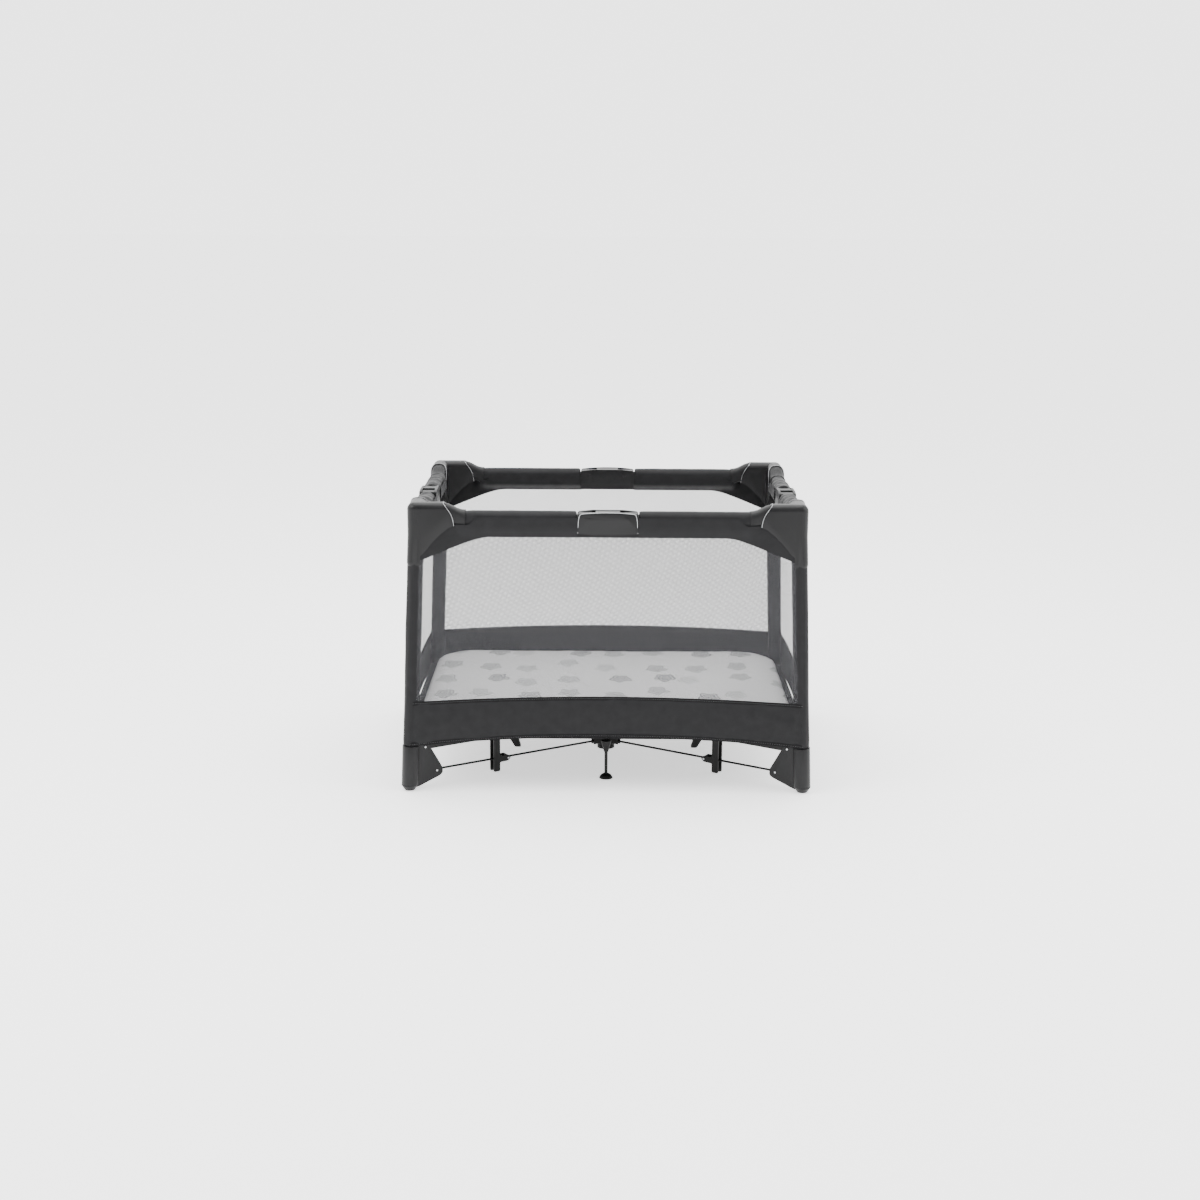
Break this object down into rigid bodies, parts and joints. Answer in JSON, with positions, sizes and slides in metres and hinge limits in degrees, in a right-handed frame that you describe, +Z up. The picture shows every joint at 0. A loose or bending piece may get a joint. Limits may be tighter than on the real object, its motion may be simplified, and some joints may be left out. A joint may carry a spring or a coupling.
{
  "type": "folding playpen",
  "caption": "Rectangular folding playpen with mesh walls, a dark skirt, padded top rails, leaning corner posts, a central folding hub on braced legs and a thin fitted mattress.",
  "frame": {"origin": "on the floor under the middle of the hub", "axes": "+X to the right along the long sides, +Y to the back, +Z up; the front long side faces -Y"},
  "size_m": [1.112, 0.818, 0.788],
  "materials": {
    "painted_steel_tube": "black powder coat, satin",
    "black_rod": "black, semi-gloss",
    "grey_plastic": "dark grey moulded plastic with a soft sheen",
    "black_plastic": "black moulded plastic, matt",
    "mesh_cover": "charcoal woven polyester skirt and sleeve with a light grey see-through mesh window",
    "charcoal_fabric": "charcoal woven polyester",
    "mattress_cloth": "fitted off-white cotton sheet with a soft grey motif"
  },
  "bodies": {
    "corner_front_left": {"post_front_left": "painted_steel_tube", "corner_housing_front_left": "grey_plastic", "foot_front_left": "grey_plastic", "wall_front_left": "mesh_cover"},
    "base_strut_front_left": {"strut_front_left": "painted_steel_tube"},
    "base_rod_front_left": {"rod_front_left": "black_rod"},
    "middle_leg_front_left": {"mid_leg_front_left": "grey_plastic"},
    "corner_front_right": {"post_front_right": "painted_steel_tube", "corner_housing_front_right": "grey_plastic", "foot_front_right": "grey_plastic", "wall_front_right": "mesh_cover"},
    "base_strut_front_right": {"strut_front_right": "painted_steel_tube"},
    "base_rod_front_right": {"rod_front_right": "black_rod"},
    "middle_leg_front_right": {"mid_leg_front_right": "grey_plastic"},
    "corner_back_left": {"post_back_left": "painted_steel_tube", "corner_housing_back_left": "grey_plastic", "foot_back_left": "grey_plastic", "wall_back_left": "mesh_cover"},
    "base_strut_back_left": {"strut_back_left": "painted_steel_tube"},
    "base_rod_back_left": {"rod_back_left": "black_rod"},
    "middle_leg_back_left": {"mid_leg_back_left": "grey_plastic"},
    "corner_back_right": {"post_back_right": "painted_steel_tube", "corner_housing_back_right": "grey_plastic", "foot_back_right": "grey_plastic", "wall_back_right": "mesh_cover"},
    "base_strut_back_right": {"strut_back_right": "painted_steel_tube"},
    "base_rod_back_right": {"rod_back_right": "black_rod"},
    "middle_leg_back_right": {"mid_leg_back_right": "grey_plastic"},
    "hub": {"hub_top": "grey_plastic", "hub_base": "grey_plastic", "floor": "charcoal_fabric"},
    "rail_body_front_left": {"rail_front_left": "painted_steel_tube", "rail_pad_front_left": "charcoal_fabric"},
    "rail_body_left_front": {"rail_left_front": "painted_steel_tube", "rail_pad_left_front": "charcoal_fabric"},
    "rail_body_front_right": {"rail_front_right": "painted_steel_tube", "rail_pad_front_right": "charcoal_fabric"},
    "rail_body_right_front": {"rail_right_front": "painted_steel_tube", "rail_pad_right_front": "charcoal_fabric"},
    "rail_body_back_left": {"rail_back_left": "painted_steel_tube", "rail_pad_back_left": "charcoal_fabric"},
    "rail_body_left_back": {"rail_left_back": "painted_steel_tube", "rail_pad_left_back": "charcoal_fabric"},
    "rail_body_back_right": {"rail_back_right": "painted_steel_tube", "rail_pad_back_right": "charcoal_fabric"},
    "rail_body_right_back": {"rail_right_back": "painted_steel_tube", "rail_pad_right_back": "charcoal_fabric"},
    "bracket_body_front": {"bracket_front": "grey_plastic"},
    "bracket_body_back": {"bracket_back": "grey_plastic"},
    "bracket_body_left": {"bracket_left": "grey_plastic"},
    "bracket_body_right": {"bracket_right": "grey_plastic"},
    "brace_body_front": {"brace_front": "black_plastic"},
    "brace_body_back": {"brace_back": "black_plastic"},
    "brace_body_left": {"brace_left": "black_plastic"},
    "brace_body_right": {"brace_right": "black_plastic"},
    "mattress": {"mattress": "mattress_cloth"}
  },
  "joints": [
    {"name": "fold", "type": "hinge", "parent": "corner_front_left", "child": "base_strut_front_left", "pos_m": [-0.49729, -0.36014, 0.115], "axis": [0.5865, -0.8099, 0], "range_deg": [0, 78], "deforming": ["wall_front_left", "wall_front_right", "wall_back_left", "wall_back_right", "floor", "mattress"]},
    {"name": "hub_front_left", "type": "hinge", "parent": "base_strut_front_left", "child": "hub", "pos_m": [-0.05993, -0.0434, 0.098], "axis": [0.5865, -0.8099, 0], "range_deg": [-78, 0]},
    {"name": "rod_front_left", "type": "hinge", "parent": "hub", "child": "base_rod_front_left", "pos_m": [-0.03159, -0.02287, 0.025], "axis": [0.5865, -0.8099, 0], "range_deg": [0, 78]},
    {"name": "middle_leg_front_left", "type": "hinge", "parent": "base_strut_front_left", "child": "middle_leg_front_left", "pos_m": [-0.30923, -0.22394, 0.10769], "axis": [0.5865, -0.8099, 0], "range_deg": [-78, 0]},
    {"name": "strut_front_right", "type": "hinge", "parent": "hub", "child": "base_strut_front_right", "pos_m": [0.05993, -0.0434, 0.098], "axis": [0.5865, 0.8099, 0], "range_deg": [0, 78]},
    {"name": "post_front_right", "type": "hinge", "parent": "base_strut_front_right", "child": "corner_front_right", "pos_m": [0.49729, -0.36014, 0.115], "axis": [0.5865, 0.8099, 0], "range_deg": [-78, 0]},
    {"name": "rod_front_right", "type": "hinge", "parent": "hub", "child": "base_rod_front_right", "pos_m": [0.03159, -0.02287, 0.025], "axis": [0.5865, 0.8099, 0], "range_deg": [0, 78]},
    {"name": "middle_leg_front_right", "type": "hinge", "parent": "base_strut_front_right", "child": "middle_leg_front_right", "pos_m": [0.30923, -0.22394, 0.10769], "axis": [0.5865, 0.8099, 0], "range_deg": [-78, 0]},
    {"name": "strut_back_left", "type": "hinge", "parent": "hub", "child": "base_strut_back_left", "pos_m": [-0.05993, 0.0434, 0.098], "axis": [-0.5865, -0.8099, 0], "range_deg": [0, 78]},
    {"name": "post_back_left", "type": "hinge", "parent": "base_strut_back_left", "child": "corner_back_left", "pos_m": [-0.49729, 0.36014, 0.115], "axis": [-0.5865, -0.8099, 0], "range_deg": [-78, 0]},
    {"name": "rod_back_left", "type": "hinge", "parent": "hub", "child": "base_rod_back_left", "pos_m": [-0.03159, 0.02287, 0.025], "axis": [-0.5865, -0.8099, 0], "range_deg": [0, 78]},
    {"name": "middle_leg_back_left", "type": "hinge", "parent": "base_strut_back_left", "child": "middle_leg_back_left", "pos_m": [-0.30923, 0.22394, 0.10769], "axis": [-0.5865, -0.8099, 0], "range_deg": [-78, 0]},
    {"name": "strut_back_right", "type": "hinge", "parent": "hub", "child": "base_strut_back_right", "pos_m": [0.05993, 0.0434, 0.098], "axis": [-0.5865, 0.8099, 0], "range_deg": [0, 78]},
    {"name": "post_back_right", "type": "hinge", "parent": "base_strut_back_right", "child": "corner_back_right", "pos_m": [0.49729, 0.36014, 0.115], "axis": [-0.5865, 0.8099, 0], "range_deg": [-78, 0]},
    {"name": "rod_back_right", "type": "hinge", "parent": "hub", "child": "base_rod_back_right", "pos_m": [0.03159, 0.02287, 0.025], "axis": [-0.5865, 0.8099, 0], "range_deg": [0, 78]},
    {"name": "middle_leg_back_right", "type": "hinge", "parent": "base_strut_back_right", "child": "middle_leg_back_right", "pos_m": [0.30923, 0.22394, 0.10769], "axis": [-0.5865, 0.8099, 0], "range_deg": [-78, 0]},
    {"name": "rail_front_left", "type": "hinge", "parent": "corner_front_left", "child": "rail_body_front_left", "pos_m": [-0.4882, -0.36558, 0.734], "axis": [0, 1, 0], "range_deg": [0, 78]},
    {"name": "rail_left_front", "type": "hinge", "parent": "corner_front_left", "child": "rail_body_left_front", "pos_m": [-0.5048, -0.34718, 0.734], "axis": [-1, 0, 0], "range_deg": [0, 78]},
    {"name": "rail_front_right", "type": "hinge", "parent": "corner_front_right", "child": "rail_body_front_right", "pos_m": [0.4882, -0.36558, 0.734], "axis": [0, -1, 0], "range_deg": [0, 78]},
    {"name": "rail_right_front", "type": "hinge", "parent": "corner_front_right", "child": "rail_body_right_front", "pos_m": [0.5048, -0.34718, 0.734], "axis": [-1, 0, 0], "range_deg": [0, 78]},
    {"name": "rail_back_left", "type": "hinge", "parent": "corner_back_left", "child": "rail_body_back_left", "pos_m": [-0.4882, 0.36558, 0.734], "axis": [0, 1, 0], "range_deg": [0, 78]},
    {"name": "rail_left_back", "type": "hinge", "parent": "corner_back_left", "child": "rail_body_left_back", "pos_m": [-0.5048, 0.34718, 0.734], "axis": [1, 0, 0], "range_deg": [0, 78]},
    {"name": "rail_back_right", "type": "hinge", "parent": "corner_back_right", "child": "rail_body_back_right", "pos_m": [0.4882, 0.36558, 0.734], "axis": [0, -1, 0], "range_deg": [0, 78]},
    {"name": "rail_right_back", "type": "hinge", "parent": "corner_back_right", "child": "rail_body_right_back", "pos_m": [0.5048, 0.34718, 0.734], "axis": [1, 0, 0], "range_deg": [0, 78]},
    {"name": "bracket_front", "type": "hinge", "parent": "rail_body_front_left", "child": "bracket_body_front", "pos_m": [-0.05085, -0.36558, 0.74777], "axis": [0, 1, 0], "range_deg": [-78, 0]},
    {"name": "bracket_back", "type": "hinge", "parent": "rail_body_back_left", "child": "bracket_body_back", "pos_m": [-0.05085, 0.36558, 0.74777], "axis": [0, 1, 0], "range_deg": [-78, 0]},
    {"name": "bracket_left", "type": "hinge", "parent": "rail_body_left_front", "child": "bracket_body_left", "pos_m": [-0.5048, -0.03044, 0.74397], "axis": [-1, 0, 0], "range_deg": [-78, 0]},
    {"name": "bracket_right", "type": "hinge", "parent": "rail_body_right_front", "child": "bracket_body_right", "pos_m": [0.5048, -0.03044, 0.74397], "axis": [-1, 0, 0], "range_deg": [-78, 0]},
    {"name": "brace_front", "type": "hinge", "parent": "hub", "child": "brace_body_front", "pos_m": [0, -0.068, 0.098], "axis": [1, 0, 0], "range_deg": [0, 78]},
    {"name": "brace_back", "type": "hinge", "parent": "hub", "child": "brace_body_back", "pos_m": [0, 0.068, 0.098], "axis": [-1, 0, 0], "range_deg": [0, 78]},
    {"name": "brace_left", "type": "hinge", "parent": "hub", "child": "brace_body_left", "pos_m": [-0.068, 0, 0.098], "axis": [0, -1, 0], "range_deg": [0, 78]},
    {"name": "brace_right", "type": "hinge", "parent": "hub", "child": "brace_body_right", "pos_m": [0.068, 0, 0.098], "axis": [0, 1, 0], "range_deg": [0, 78]},
    {"name": "mattress_lift", "type": "slide", "parent": "hub", "child": "mattress", "axis": [0, 0, 1], "range_m": [0, 0.42]}
  ],
  "couplings": [
    {"joint": "hub_front_left", "follows": "fold", "ratio": -1},
    {"joint": "rod_front_left", "follows": "fold", "ratio": 1},
    {"joint": "middle_leg_front_left", "follows": "fold", "ratio": -1},
    {"joint": "strut_front_right", "follows": "fold", "ratio": 1},
    {"joint": "post_front_right", "follows": "fold", "ratio": -1},
    {"joint": "rod_front_right", "follows": "fold", "ratio": 1},
    {"joint": "middle_leg_front_right", "follows": "fold", "ratio": -1},
    {"joint": "strut_back_left", "follows": "fold", "ratio": 1},
    {"joint": "post_back_left", "follows": "fold", "ratio": -1},
    {"joint": "rod_back_left", "follows": "fold", "ratio": 1},
    {"joint": "middle_leg_back_left", "follows": "fold", "ratio": -1},
    {"joint": "strut_back_right", "follows": "fold", "ratio": 1},
    {"joint": "post_back_right", "follows": "fold", "ratio": -1},
    {"joint": "rod_back_right", "follows": "fold", "ratio": 1},
    {"joint": "middle_leg_back_right", "follows": "fold", "ratio": -1},
    {"joint": "rail_front_left", "follows": "fold", "ratio": 1},
    {"joint": "rail_left_front", "follows": "fold", "ratio": 1},
    {"joint": "rail_front_right", "follows": "fold", "ratio": 1},
    {"joint": "rail_right_front", "follows": "fold", "ratio": 1},
    {"joint": "rail_back_left", "follows": "fold", "ratio": 1},
    {"joint": "rail_left_back", "follows": "fold", "ratio": 1},
    {"joint": "rail_back_right", "follows": "fold", "ratio": 1},
    {"joint": "rail_right_back", "follows": "fold", "ratio": 1},
    {"joint": "bracket_front", "follows": "fold", "ratio": -1},
    {"joint": "bracket_back", "follows": "fold", "ratio": -1},
    {"joint": "bracket_left", "follows": "fold", "ratio": -1},
    {"joint": "bracket_right", "follows": "fold", "ratio": -1},
    {"joint": "brace_front", "follows": "fold", "ratio": 1},
    {"joint": "brace_back", "follows": "fold", "ratio": 1},
    {"joint": "brace_left", "follows": "fold", "ratio": 1},
    {"joint": "brace_right", "follows": "fold", "ratio": 1}
  ]
}
